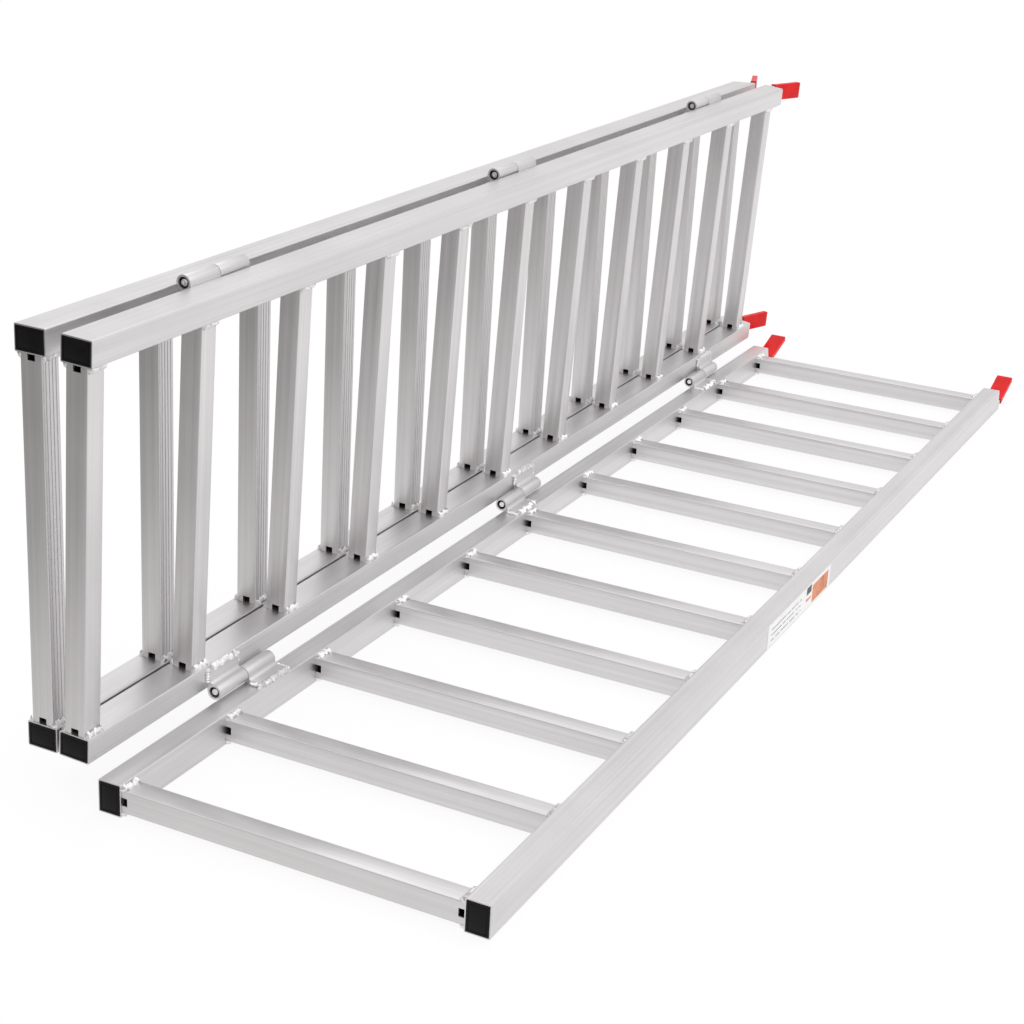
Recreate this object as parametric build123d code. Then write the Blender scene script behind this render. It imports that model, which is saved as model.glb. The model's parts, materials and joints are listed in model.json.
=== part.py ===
"""Tri-fold aluminium loading ramp.

Three welded ladder panels are joined edge to edge by barrel hinges and fold in a zigzag.
Every piece is drawn with the ramp laid out flat, treads down, undersides up, and is then
folded: the flat panel stays on the ground with its underside up, the middle panel stands
on its edge beside it, and the outer panel hangs folded against the middle panel's treads.

X runs across the panels, Y along the rails towards the lips, Z up. Millimetres.
"""
import os
from math import atan2, cos, degrees, radians, sin, tan

from build123d import *

# Panel frame
PANEL_WIDTH = 450.0          # outside to outside of one panel's two rails
RAIL_LENGTH = 1905.0         # along the tread side
RAIL_WIDE = 28.0             # rail section across the panel
RAIL_DEEP = 37.0             # rail section from tread side to underside
RAIL_WALL = 2.0
RAIL_CORNER = 1.5            # outside corner radius of the rail extrusion

# Rungs
RUNG_COUNT = 11
RUNG_WIDE = 25.0             # rung section along the rails
RUNG_DEEP = 26.0             # rung section from tread side to underside
RUNG_WALL = 2.6
FIRST_RUNG_INSET = 1.0       # near end of the rail to the first rung
LAST_RUNG_INSET = 44.0       # last rung to the far end of the rail
TREAD_GROOVES = 4            # grip grooves along each rung's tread face
GROOVE_WIDE = 2.0
GROOVE_DEEP = 0.9
DRAIN_HOLE_WIDE = 7.0        # hole beside the rail, across the panel
DRAIN_HOLE_HIGH = 9.0
DRAIN_HOLE_INSET = 0.8       # rail to hole

# End caps
CAP_PLUG_LENGTH = 14.0
CAP_WALL = 2.0
CAP_CLEARANCE = 0.05         # plug to the inside of the rail
CAP_RECESS = 0.6             # cap face behind the rail's near end

# Lips
LIP_ANGLE = 18.0             # slope of the lips, and of the rail ends behind them
LIP_PLATE = 6.0
LIP_TIP_MARGIN = 0.8         # coated lip tip to the underside plane of the rails
LIP_TANG = 60.0              # length held inside the rail
LIP_BEND_INSET = 2.0         # bend, beyond the rail's far end
LIP_CLEARANCE = 0.1          # tang to the side walls of the rail
COAT_THICK = 1.6             # dipped coating on the lip
COAT_START = 16.0            # bend to the start of the coating

# Hinges
HINGE_HALF_GAP = 2.5         # axis to the edge of each rail
PIN_RADIUS = 4.75
PIN_CLEARANCE = 0.05
NUT_RIM = 1.45               # push nut, pin to outer edge
NUT_THICK = 1.4
NUT_CLEARANCE = 0.3          # push nut to the walls of its recess
RECESS_DEPTH = 4.0           # recess for the push nut at the mouth of each outer knuckle
PIN_SINK = 0.8               # pin end below the knuckle's end
KNUCKLE_WALL = 2.25          # knuckle wall around the recess
KNUCKLE_CLEARANCE = 0.45     # knuckle to the faces of both rails
KNUCKLE_LENGTH = 53.5
KNUCKLE_GAP = 1.0
LEAF_THICK = 3.5
LEAF_MARGIN = 7.0            # leaf edge to the rail's inner edge
HINGE_NEAR_INSET = 207.0     # near end of the rail to the first hinge
HINGE_FAR_INSET = 210.0      # last hinge to the far end of the rail

# Label on the outer rail
LABEL_START = 742.0
LABEL_LENGTH = 240.0
LABEL_MARGIN = 2.5           # label edge to the rail's tread and underside faces
LABEL_THICK = 0.3

# Fold
MIDDLE_LEAN = 2.4            # degrees past upright, leaning over the flat panel
STOP_GAP = 2.5               # left between two rails that close on each other

# Worked out from the sizes above
RUNG_LENGTH = PANEL_WIDTH - 2 * RAIL_WIDE
RUNG_LOW = (RAIL_DEEP - RUNG_DEEP) / 2
RUNG_PITCH = (RAIL_LENGTH - FIRST_RUNG_INSET - LAST_RUNG_INSET - RUNG_WIDE) / (RUNG_COUNT - 1)
LIP_TIP_HEIGHT = RAIL_DEEP - LIP_TIP_MARGIN - RAIL_WALL
LIP_TIP_THICK = (LIP_PLATE + COAT_THICK) * cos(radians(LIP_ANGLE))
LIP_LENGTH = (LIP_TIP_HEIGHT - LIP_TIP_THICK) / sin(radians(LIP_ANGLE)) - COAT_THICK
NUT_RADIUS = PIN_RADIUS + NUT_RIM
RECESS_RADIUS = NUT_RADIUS + NUT_CLEARANCE
KNUCKLE_RADIUS = RECESS_RADIUS + KNUCKLE_WALL
HINGE_AXIS_RISE = KNUCKLE_RADIUS + KNUCKLE_CLEARANCE
HINGE_LENGTH = 2 * KNUCKLE_LENGTH + KNUCKLE_GAP
HINGE_SPAN = RAIL_LENGTH - HINGE_NEAR_INSET - HINGE_FAR_INSET - HINGE_LENGTH
HINGE_STARTS = [HINGE_NEAR_INSET + HINGE_SPAN * share for share in (0, 0.5, 1)]
PANEL_STEP = PANEL_WIDTH + 2 * HINGE_HALF_GAP
CLOSING_LEAN = degrees(atan2(2 * HINGE_AXIS_RISE - STOP_GAP, PANEL_WIDTH + HINGE_HALF_GAP))
LOWER_AXIS = (-HINGE_HALF_GAP, RAIL_DEEP + HINGE_AXIS_RISE)
UPPER_AXIS = (-HINGE_HALF_GAP - PANEL_STEP, -HINGE_AXIS_RISE)
MIDDLE_FOLD = 90 + MIDDLE_LEAN
OUTER_FOLD = 180 + CLOSING_LEAN

PANELS = ("flat", "middle", "outer")
PANEL_LEFT = {"flat": 0.0, "middle": -PANEL_STEP, "outer": -2 * PANEL_STEP}
# Each panel's left and right rail in the flat layout
RAIL_NAMES = {
    "flat": ("hinge_rail", "outer_rail"),
    "middle": ("upper_rail", "lower_rail"),
    "outer": ("lower_rail", "upper_rail"),
}


def box_at(low, high):
    """Box between two corners."""
    size = [b - a for a, b in zip(low, high)]
    return Pos(*low) * Box(*size, align=(Align.MIN, Align.MIN, Align.MIN))


def lip_slope(along, rise):
    """Point on the lip, by distance along its slope and height off its lower face."""
    turn = radians(LIP_ANGLE)
    bend = RAIL_LENGTH + LIP_BEND_INSET
    return (bend + along * cos(turn) - rise * sin(turn),
            RAIL_WALL + along * sin(turn) + rise * cos(turn))


def across(points, left, width):
    """Profile of (y, z) points carried across the panel from left."""
    face = Plane.YZ * make_face(Polyline(*points, close=True))
    return Pos(left, 0, 0) * extrude(face, width)


def rail(left):
    """Rail tube, its far end cut back towards the underside."""
    middle = left + RAIL_WIDE / 2
    section = RectangleRounded(RAIL_WIDE, RAIL_DEEP, RAIL_CORNER)
    section -= Rectangle(RAIL_WIDE - 2 * RAIL_WALL, RAIL_DEEP - 2 * RAIL_WALL)
    tube = Plane.XZ * section
    tube = Pos(middle, RAIL_LENGTH, RAIL_DEEP / 2) * extrude(tube, RAIL_LENGTH)
    setback = RAIL_DEEP * tan(radians(LIP_ANGLE))
    wedge = [
        (RAIL_LENGTH, 0),
        (RAIL_LENGTH - setback, RAIL_DEEP),
        (RAIL_LENGTH + setback, RAIL_DEEP),
        (RAIL_LENGTH + setback, 0),
    ]
    cut = across(wedge, left, RAIL_WIDE)
    return tube - cut


def end_cap(left):
    """Plug pressed into the near end of a rail, with a hollow back."""
    inner = RAIL_WALL + CAP_CLEARANCE
    low, high = left + inner, left + RAIL_WIDE - inner
    back = CAP_RECESS + CAP_PLUG_LENGTH
    plug = box_at((low, CAP_RECESS, inner), (high, back, RAIL_DEEP - inner))
    hollow = box_at((low + CAP_WALL, CAP_RECESS + CAP_WALL, inner + CAP_WALL),
                    (high - CAP_WALL, back, RAIL_DEEP - inner - CAP_WALL))
    return plug - hollow


def rung(left, number):
    """Hollow rung between the rails, grooved on its tread side, with two drain holes."""
    low = left + RAIL_WIDE
    start = FIRST_RUNG_INSET + number * RUNG_PITCH
    top = RUNG_LOW + RUNG_DEEP
    body = box_at((low, start, RUNG_LOW), (low + RUNG_LENGTH, start + RUNG_WIDE, top))
    body -= box_at((low, start + RUNG_WALL, RUNG_LOW + RUNG_WALL),
                   (low + RUNG_LENGTH, start + RUNG_WIDE - RUNG_WALL, top - RUNG_WALL))
    groove_pitch = RUNG_WIDE / (TREAD_GROOVES + 1)
    for count in range(TREAD_GROOVES):
        middle = start + groove_pitch * (count + 1)
        body -= box_at((low, middle - GROOVE_WIDE / 2, RUNG_LOW),
                       (low + RUNG_LENGTH, middle + GROOVE_WIDE / 2, RUNG_LOW + GROOVE_DEEP))
    hole_low = (RAIL_DEEP - DRAIN_HOLE_HIGH) / 2
    far_hole = low + RUNG_LENGTH - DRAIN_HOLE_INSET - DRAIN_HOLE_WIDE
    for side in (low + DRAIN_HOLE_INSET, far_hole):
        body -= box_at((side, start, hole_low),
                       (side + DRAIN_HOLE_WIDE, start + RUNG_WALL, hole_low + DRAIN_HOLE_HIGH))
    return body


def lip_plate(left):
    """Flat bar welded inside the rail against the tread wall and bent towards the underside."""
    inner = RAIL_WALL + LIP_CLEARANCE
    bend = RAIL_LENGTH + LIP_BEND_INSET
    top_bend = bend - LIP_PLATE * tan(radians(LIP_ANGLE / 2))
    points = [
        (RAIL_LENGTH - LIP_TANG, RAIL_WALL),
        (bend, RAIL_WALL),
        lip_slope(LIP_LENGTH, 0),
        lip_slope(LIP_LENGTH, LIP_PLATE),
        (top_bend, RAIL_WALL + LIP_PLATE),
        (RAIL_LENGTH - LIP_TANG, RAIL_WALL + LIP_PLATE),
    ]
    return across(points, left + inner, RAIL_WIDE - 2 * inner)


def lip_coating(left):
    """Dipped sleeve around the sloping part of the lip."""
    inner = RAIL_WALL + LIP_CLEARANCE
    outside = [
        lip_slope(COAT_START, -COAT_THICK),
        lip_slope(LIP_LENGTH + COAT_THICK, -COAT_THICK),
        lip_slope(LIP_LENGTH + COAT_THICK, LIP_PLATE + COAT_THICK),
        lip_slope(COAT_START, LIP_PLATE + COAT_THICK),
    ]
    inside = [
        lip_slope(COAT_START, 0),
        lip_slope(LIP_LENGTH, 0),
        lip_slope(LIP_LENGTH, LIP_PLATE),
        lip_slope(COAT_START, LIP_PLATE),
    ]
    wide = RAIL_WIDE - 2 * inner
    sleeve = across(outside, left + inner - COAT_THICK, wide + 2 * COAT_THICK)
    return sleeve - across(inside, left + inner, wide)


def rod(radius, start, length):
    """Round bar along Y on a hinge axis that passes through the origin."""
    return Pos(0, start + length, 0) * extrude(Plane.XZ * Circle(radius), length)


def hinge_leaf(start, takes_near, side, leaf_height):
    """Leaf and knuckle in one, its axis along Y through the origin.

    The leaf reaches to the right of the axis with side 1 and to the left with -1, and lies
    below the axis with leaf_height -1 and above it with 1. takes_near gives it the near one
    of the hinge's two knuckles. The knuckle's outer end is recessed for the push nut.
    """
    reach = HINGE_HALF_GAP + RAIL_WIDE - LEAF_MARGIN
    rise = leaf_height * (HINGE_AXIS_RISE - LEAF_THICK / 2)
    section = Circle(KNUCKLE_RADIUS) + Pos(side * reach / 2, rise) * Rectangle(reach, LEAF_THICK)
    section -= Circle(PIN_RADIUS + PIN_CLEARANCE)
    low = start if takes_near else start + KNUCKLE_LENGTH + KNUCKLE_GAP
    leaf = Pos(0, low + KNUCKLE_LENGTH, 0) * extrude(Plane.XZ * section, KNUCKLE_LENGTH)
    recess = low if takes_near else low + KNUCKLE_LENGTH - RECESS_DEPTH
    return leaf - rod(RECESS_RADIUS, recess, RECESS_DEPTH)


def seam_leaves(panel_is_middle, side, leaf_height):
    """One panel's leaves along a seam. The hinge nearest the near end is turned end for end."""
    leaves = []
    for index, start in enumerate(HINGE_STARTS):
        middle_takes_near = index == 0
        takes_near = middle_takes_near if panel_is_middle else not middle_takes_near
        leaves.append(hinge_leaf(start, takes_near, side, leaf_height))
    return leaves


def seam_pins():
    """Pin through both knuckles of each hinge."""
    return [rod(PIN_RADIUS, start + PIN_SINK, HINGE_LENGTH - 2 * PIN_SINK)
            for start in HINGE_STARTS]


def seam_push_nuts():
    """Spring ring pressed on each end of each pin, in the knuckles' recesses."""
    inset = RECESS_DEPTH - NUT_THICK - NUT_CLEARANCE
    nuts = []
    for start in HINGE_STARTS:
        for low in (start + inset, start + HINGE_LENGTH - inset - NUT_THICK):
            nuts.append(rod(NUT_RADIUS, low, NUT_THICK) - rod(PIN_RADIUS, low, NUT_THICK))
    return nuts


def label():
    """Printed label on the outer side of the flat panel's outer rail."""
    return box_at((PANEL_WIDTH, LABEL_START, LABEL_MARGIN),
                  (PANEL_WIDTH + LABEL_THICK, LABEL_START + LABEL_LENGTH, RAIL_DEEP - LABEL_MARGIN))


def laid_flat():
    """Every node of the ramp laid out flat: name to (panel, list of solids)."""
    nodes = {}
    for panel in PANELS:
        left = PANEL_LEFT[panel]
        rail_lefts = (left, left + PANEL_WIDTH - RAIL_WIDE)
        for name, rail_left in zip(RAIL_NAMES[panel], rail_lefts):
            nodes[f"{panel}_{name}"] = (panel, [rail(rail_left)])
        for number in range(RUNG_COUNT):
            nodes[f"{panel}_rung_{number + 1:02d}"] = (panel, [rung(left, number)])
        nodes[f"{panel}_end_caps"] = (panel, [end_cap(place) for place in rail_lefts])
        nodes[f"{panel}_lip_plates"] = (panel, [lip_plate(place) for place in rail_lefts])
        nodes[f"{panel}_lip_coatings"] = (panel, [lip_coating(place) for place in rail_lefts])
    lower, upper = Pos(LOWER_AXIS[0], 0, LOWER_AXIS[1]), Pos(UPPER_AXIS[0], 0, UPPER_AXIS[1])
    seams = {
        "flat_hinge_leaves": ("flat", lower, seam_leaves(False, 1, -1)),
        "middle_lower_hinge_leaves": ("middle", lower, seam_leaves(True, -1, -1)),
        "middle_upper_hinge_leaves": ("middle", upper, seam_leaves(True, 1, 1)),
        "outer_hinge_leaves": ("outer", upper, seam_leaves(False, -1, 1)),
        "lower_hinge_pins": ("flat", lower, seam_pins()),
        "lower_hinge_push_nuts": ("flat", lower, seam_push_nuts()),
        "upper_hinge_pins": ("middle", upper, seam_pins()),
        "upper_hinge_push_nuts": ("middle", upper, seam_push_nuts()),
    }
    for name, (panel, place, solids) in seams.items():
        nodes[name] = (panel, [place * solid for solid in solids])
    nodes["flat_label"] = ("flat", [label()])
    return nodes


def turn_about(axis, angle):
    """Turn about a line along Y through the (x, z) point axis."""
    return Pos(axis[0], 0, axis[1]) * Rot(0, angle, 0) * Pos(-axis[0], 0, -axis[1])


def fold(panel):
    """Move of a panel from the flat layout to the stored, standing pose."""
    if panel == "flat":
        return Pos(0, 0, 0)
    stand_up = turn_about(LOWER_AXIS, MIDDLE_FOLD)
    if panel == "middle":
        return stand_up
    return stand_up * turn_about(UPPER_AXIS, -OUTER_FOLD)


def main():
    """Fold the ramp, centre it on its base and write every node."""
    nodes = {}
    for name, (panel, solids) in laid_flat().items():
        nodes[name] = [fold(panel) * solid for solid in solids]
    box = Compound(children=[Compound(solids) for solids in nodes.values()]).bounding_box()
    centre = Pos(-(box.min.X + box.max.X) / 2, -(box.min.Y + box.max.Y) / 2, 0)
    os.makedirs("parts", exist_ok=True)
    for name, solids in nodes.items():
        placed = [centre * solid for solid in solids]
        whole = placed[0] if len(placed) == 1 else Compound(placed)
        export_step(whole, f"parts/{name}.step")
    upper_point = (fold("middle") * Pos(UPPER_AXIS[0], 0, UPPER_AXIS[1])).position
    shift = centre.position
    print("box", box.size, "shift", shift)
    print("lower hinge axis", LOWER_AXIS[0] + shift.X, LOWER_AXIS[1])
    print("upper hinge axis", upper_point.X + shift.X, upper_point.Z)


main()
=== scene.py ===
"""Tri-fold aluminium loading ramp: its looks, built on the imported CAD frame. Metres."""

import json
import math
import random

import bmesh
import bpy
from mathutils import Matrix, Vector


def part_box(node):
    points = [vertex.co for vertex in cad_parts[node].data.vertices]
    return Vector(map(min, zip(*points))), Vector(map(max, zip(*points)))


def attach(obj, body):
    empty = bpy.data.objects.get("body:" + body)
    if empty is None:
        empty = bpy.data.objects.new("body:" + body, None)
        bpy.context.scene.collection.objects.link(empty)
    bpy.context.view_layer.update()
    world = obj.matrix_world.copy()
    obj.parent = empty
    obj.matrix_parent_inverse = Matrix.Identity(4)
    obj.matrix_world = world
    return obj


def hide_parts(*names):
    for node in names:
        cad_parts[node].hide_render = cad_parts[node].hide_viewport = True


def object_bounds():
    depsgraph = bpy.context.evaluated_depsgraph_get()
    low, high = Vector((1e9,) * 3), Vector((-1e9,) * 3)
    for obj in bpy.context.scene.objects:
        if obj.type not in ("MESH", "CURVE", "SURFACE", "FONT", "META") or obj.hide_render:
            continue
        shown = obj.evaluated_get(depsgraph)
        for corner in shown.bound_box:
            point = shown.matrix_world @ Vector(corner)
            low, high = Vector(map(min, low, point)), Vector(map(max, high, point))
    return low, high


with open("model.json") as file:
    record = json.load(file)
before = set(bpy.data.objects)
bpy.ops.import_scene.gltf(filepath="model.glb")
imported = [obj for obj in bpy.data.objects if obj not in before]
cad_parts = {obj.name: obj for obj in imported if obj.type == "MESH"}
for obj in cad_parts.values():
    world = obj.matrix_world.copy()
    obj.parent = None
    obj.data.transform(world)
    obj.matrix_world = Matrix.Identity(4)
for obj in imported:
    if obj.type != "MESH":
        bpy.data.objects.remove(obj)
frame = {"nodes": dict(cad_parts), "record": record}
cad_low, cad_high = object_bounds()


# Side rails
# Six rectangular tubes of extruded aluminium, mill finish, sawn square at the near end and
# sloped at the far end. The CAD tubes have the right shape, so they only get their finish.

class Wire:
    """A value inside a material. Arithmetic on it adds Math nodes."""

    def __init__(self, finish, socket):
        self.finish = finish
        self.socket = socket

    def maths(self, operation, first, second):
        return self.finish.node("ShaderNodeMath", {"operation": operation}, {0: first, 1: second})

    def __add__(self, other):
        return self.maths("ADD", self, other)

    def __sub__(self, other):
        return self.maths("SUBTRACT", self, other)

    def __rsub__(self, other):
        return self.maths("SUBTRACT", other, self)

    def __mul__(self, other):
        return self.maths("MULTIPLY", self, other)

    def __gt__(self, other):
        return self.maths("GREATER_THAN", self, other)

    def __lt__(self, other):
        return self.maths("LESS_THAN", self, other)

    __radd__ = __add__
    __rmul__ = __mul__


class Finish:
    """One material, its patterns placed as on the ramp laid out flat."""

    def __init__(self, name, panel, **sockets):
        self.material = bpy.data.materials.new(name)
        self.material.use_nodes = True
        self.tree = self.material.node_tree
        self.shader = self.tree.nodes["Principled BSDF"]
        self.set(**sockets)
        here = self.node("ShaderNodeTexCoord", output="Object")
        fold = PANEL_PLACE[panel]
        self.place = self.node("ShaderNodeMapping", {"vector_type": "TEXTURE"},
                               {"Vector": here, "Location": fold.to_translation(),
                                "Rotation": fold.to_euler()})

    def set(self, **sockets):
        """Give shader sockets a value or a link, by name with underscores for spaces."""
        for name, value in sockets.items():
            self.feed(self.shader.inputs[name.replace("_", " ")], value)

    def feed(self, socket, value):
        if isinstance(value, Wire):
            self.tree.links.new(value.socket, socket)
        else:
            socket.default_value = value

    def node(self, kind, settings=None, inputs=None, output=0):
        """Add a node: its settings first, then the values or links of its sockets."""
        node = self.tree.nodes.new(kind)
        for name, value in (settings or {}).items():
            if name == "stops":
                stops = node.color_ramp.elements
                while len(stops) < len(value):
                    stops.new(1.0)
                for stop, (position, shade) in zip(stops, value):
                    stop.position = position
                    stop.color = shade if isinstance(shade, tuple) else (shade, shade, shade, 1)
            else:
                setattr(node, name, value)
        for name, value in (inputs or {}).items():
            self.feed(node.inputs[name], value)
        return Wire(self, node.outputs[output])

    def noise(self, scale, detail=2.0, stretch=(1, 1, 1), roughness=0.5):
        """Cloudy noise, drawn out along an axis by a small stretch."""
        spot = self.node("ShaderNodeMapping", None, {"Vector": self.place, "Scale": stretch})
        return self.node("ShaderNodeTexNoise", None, {"Vector": spot, "Scale": scale,
                                                      "Detail": detail, "Roughness": roughness})

    def ramp(self, value, *stops):
        """Reshape a value by colour stops."""
        return self.node("ShaderNodeValToRGB", {"stops": stops}, {"Fac": value})

    def mix(self, share, first, second):
        """Blend two colours."""
        return self.node("ShaderNodeMix", {"data_type": "RGBA"},
                         {0: share, 6: first, 7: second}, output=2)

    def along(self, axis):
        """Distance along an axis of the flat layout."""
        return self.node("ShaderNodeSeparateXYZ", None, {0: self.place}, output=axis)

    def bump(self, height, depth, strength=1.0):
        """Raise the surface by a height of 0 to 1 times depth."""
        self.set(Normal=self.node("ShaderNodeBump", None, {"Height": height, "Distance": depth,
                                                           "Strength": strength}))


def folded_back(joint):
    """Turn from a joint's open limit back to rest."""
    pivot = Matrix.Translation(joint["pos_m"])
    angle = -math.radians(joint["range_deg"][1])
    return pivot @ Matrix.Rotation(angle, 4, Vector(joint["axis"])) @ pivot.inverted()


PANELS = ("flat", "middle", "outer")
joints = {joint["name"]: joint for joint in frame["record"]["behaviour"]["joints"]}
rail_low, rail_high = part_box("flat_hinge_rail")
outer_rail_low, outer_rail_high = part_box("flat_outer_rail")
RAIL_STEP = outer_rail_low.x - rail_low.x
HALF_GAP = rail_low.x - joints["lower_fold"]["pos_m"][0]
PANEL_STEP = outer_rail_high.x - rail_low.x + 2 * HALF_GAP
to_stand = folded_back(joints["lower_fold"])
to_hang = folded_back(joints["upper_fold"]) @ to_stand
PANEL_PLACE = {
    "flat": Matrix.Identity(4),
    "middle": to_stand @ Matrix.Translation((-PANEL_STEP, 0, 0)),
    "outer": to_hang @ Matrix.Translation((-2 * PANEL_STEP, 0, 0)),
}

ALONG_RAIL = (1, 0.004, 1)
DIE_LINES_FINE = 900
DIE_LINES_BROAD = 160
PATCH_SCALE = 7
SCUFF_SCALE = 60
MILL_ROUGHNESS = 0.40
DIE_LINE_DEEP = 0.00012
ALUMINIUM_LIGHT = (0.80, 0.792, 0.796, 1)
ALUMINIUM_DARK = (0.66, 0.652, 0.653, 1)


def extruded_metal(name, panel, grain, rough=MILL_ROUGHNESS):
    """Mill-finish extrusion: die lines along its grain, dull patches and fine scuffs."""
    metal = Finish(name, panel, Metallic=0.95)
    lines = metal.noise(DIE_LINES_FINE, 3, grain)
    bands = metal.noise(DIE_LINES_BROAD, 2, grain)
    patches = metal.noise(PATCH_SCALE, 4)
    scuffs = metal.noise(SCUFF_SCALE, 6, roughness=0.75)
    marks = metal.ramp(scuffs, (0.60, 0.0), (0.70, 1.0))
    shade = lines * 0.35 + bands * 0.35 + patches * 0.3
    tone = metal.ramp(shade, (0.34, ALUMINIUM_DARK), (0.62, ALUMINIUM_LIGHT))
    metal.set(Base_Color=metal.mix(marks * 0.12, tone, ALUMINIUM_DARK),
              Roughness=rough + (patches - 0.5) * 0.22 + (lines - 0.5) * 0.12 + marks * 0.06)
    metal.bump(lines * 0.6 + bands * 0.4, DIE_LINE_DEEP, 0.35)
    return metal.material


def dress(node, material):
    """Give a CAD node its finish."""
    shown = frame["nodes"][node].data
    shown.materials.clear()
    shown.materials.append(material)


RAILS = {"flat": ("flat_hinge_rail", "flat_outer_rail"),
         "middle": ("middle_lower_rail", "middle_upper_rail"),
         "outer": ("outer_lower_rail", "outer_upper_rail")}
rail_metal = {panel: extruded_metal(f"{panel}_rail_mill_finish", panel, ALONG_RAIL)
              for panel in PANELS}
for panel in PANELS:
    for node in RAILS[panel]:
        dress(node, rail_metal[panel])


# Rungs
# Hollow aluminium extrusions welded between the rails, eleven to a panel. The tread face is
# grooved for grip, and a drain notch is punched at each end of the near face. The inside walls
# are painted near-black, as painted shade inside the tube.

def start_block(name, low, high):
    """Cube stretched between two corners, alone and selected."""
    bpy.ops.object.select_all(action="DESELECT")
    low, high = Vector(low), Vector(high)
    bpy.ops.mesh.primitive_cube_add(size=1, location=(low + high) / 2, scale=high - low)
    block = bpy.context.object
    block.name = name
    bpy.ops.object.transform_apply(location=True, rotation=True, scale=True)
    return block


def pick(piece, kind, test):
    """Select the faces, edges or vertices that pass a test, in edit mode."""
    bpy.ops.object.mode_set(mode="EDIT")
    bpy.ops.mesh.select_mode(type=kind)
    bpy.ops.mesh.select_all(action="DESELECT")
    shape = bmesh.from_edit_mesh(piece.data)
    for item in {"FACE": shape.faces, "EDGE": shape.edges, "VERT": shape.verts}[kind]:
        if test(item):
            item.select_set(True)
    bmesh.update_edit_mesh(piece.data)


def slice_at(piece, faces, plane_normal, places):
    """Cut the chosen faces by planes at several places along a normal."""
    for place in places:
        pick(piece, "FACE", faces)
        bpy.ops.mesh.bisect(plane_co=Vector(plane_normal) * place, plane_no=plane_normal)


SQUARE_ON = 0.99
TOUCHING = 1e-5


def facing(direction):
    """Test for faces that look one way."""
    return lambda face: face.normal.dot(Vector(direction)) > SQUARE_ON


def middle_of(item):
    """Centre of an edge."""
    return (item.verts[0].co + item.verts[1].co) / 2


def second_material(piece, test):
    """Give the faces that pass a test the piece's second material."""
    pick(piece, "FACE", test)
    for face in bmesh.from_edit_mesh(piece.data).faces:
        face.material_index = 1 if face.select else 0


def apply_modifier(piece, kind, **settings):
    """Add a modifier and apply it at once."""
    bpy.ops.object.mode_set(mode="OBJECT")
    bpy.ops.object.select_all(action="DESELECT")
    piece.select_set(True)
    bpy.context.view_layer.objects.active = piece
    modifier = piece.modifiers.new(kind.title(), kind)
    for name, value in settings.items():
        setattr(modifier, name, value)
    bpy.ops.object.modifier_apply(modifier=modifier.name)


def smooth(piece, degrees=35):
    """Smooth shading, kept sharp at corners."""
    bpy.ops.object.mode_set(mode="OBJECT")
    bpy.ops.object.select_all(action="DESELECT")
    piece.select_set(True)
    bpy.context.view_layer.objects.active = piece
    bpy.ops.object.shade_smooth_by_angle(angle=math.radians(degrees))


def copy_of(model, name, panel, offset=(0, 0, 0), turn=Matrix.Identity(4)):
    """Copy a finished model, with its own mesh, to its place on a panel."""
    piece = model.copy()
    piece.data = model.data.copy()
    piece.name = name
    bpy.context.collection.objects.link(piece)
    piece.data.transform(PANEL_PLACE[panel] @ Matrix.Translation(offset) @ turn)
    if turn.determinant() < 0:
        piece.data.flip_normals()
    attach(piece, f"{panel}_panel")
    return piece


RUNG_WALL = 0.0026
RUNG_CORNER = 0.0012
RUNG_EDGE = 0.00022
SHARP_EDGE = math.radians(40)
TREAD_GROOVES = 4
GROOVE_WIDE = 0.0015
GROOVE_DEEP = 0.0006
GROOVE_STOP = 0.0006
HOLE_WIDE = 0.0070
HOLE_HIGH = 0.0092
ALONG_RUNG = (0.004, 1, 1)
INSIDE_SHADE_DARK = (0.006, 0.006, 0.006, 1)
INSIDE_SHADE_LIGHT = (0.016, 0.015, 0.015, 1)
INSIDE_CLOUD_SCALE = 60

rung_low, rung_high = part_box("flat_rung_01")
RUNG_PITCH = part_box("flat_rung_02")[0].y - rung_low.y
RUNG_COUNT = sum(1 for node in frame["nodes"] if node.startswith("flat_rung_"))

rung = start_block("rung_model", rung_low, rung_high)
pick(rung, "EDGE", lambda edge: abs((edge.verts[0].co - edge.verts[1].co).x) > RUNG_WALL)
bpy.ops.mesh.bevel(offset=RUNG_CORNER, segments=3)
near_face = facing((0, -1, 0))
left_hole = (rung_low.x, rung_low.x + HOLE_WIDE)
right_hole = (rung_high.x - HOLE_WIDE, rung_high.x)
hole_middle = (rung_low.z + rung_high.z) / 2
hole_heights = (hole_middle - HOLE_HIGH / 2, hole_middle + HOLE_HIGH / 2)
slice_at(rung, near_face, (1, 0, 0), (left_hole[1], right_hole[0]))
slice_at(rung, near_face, (0, 0, 1), hole_heights)


def in_drain_hole(face):
    """True for the two squares that are punched out of the near face."""
    centre = face.calc_center_median()
    across = any(low < centre.x < high for low, high in (left_hole, right_hole))
    return near_face(face) and across and hole_heights[0] < centre.z < hole_heights[1]


pick(rung, "FACE", in_drain_hole)
bpy.ops.mesh.delete(type="FACE")
pick(rung, "FACE", lambda face: abs(face.normal.x) > SQUARE_ON)
bpy.ops.mesh.delete(type="FACE")
apply_modifier(rung, "SOLIDIFY", thickness=RUNG_WALL, offset=-1, use_even_offset=True)


def on_tread(face):
    """True for the outer tread face."""
    outside = abs(face.calc_center_median().z - rung_low.z) < TOUCHING
    return face.normal.z < -SQUARE_ON and outside


groove_pitch = (rung_high.y - rung_low.y) / (TREAD_GROOVES + 1)
groove_middles = [rung_low.y + groove_pitch * (count + 1) for count in range(TREAD_GROOVES)]
groove_sides = [middle + side * GROOVE_WIDE / 2 for middle in groove_middles for side in (-1, 1)]
slice_at(rung, on_tread, (0, 1, 0), groove_sides)
slice_at(rung, on_tread, (1, 0, 0), (rung_low.x + GROOVE_STOP, rung_high.x - GROOVE_STOP))


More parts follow.
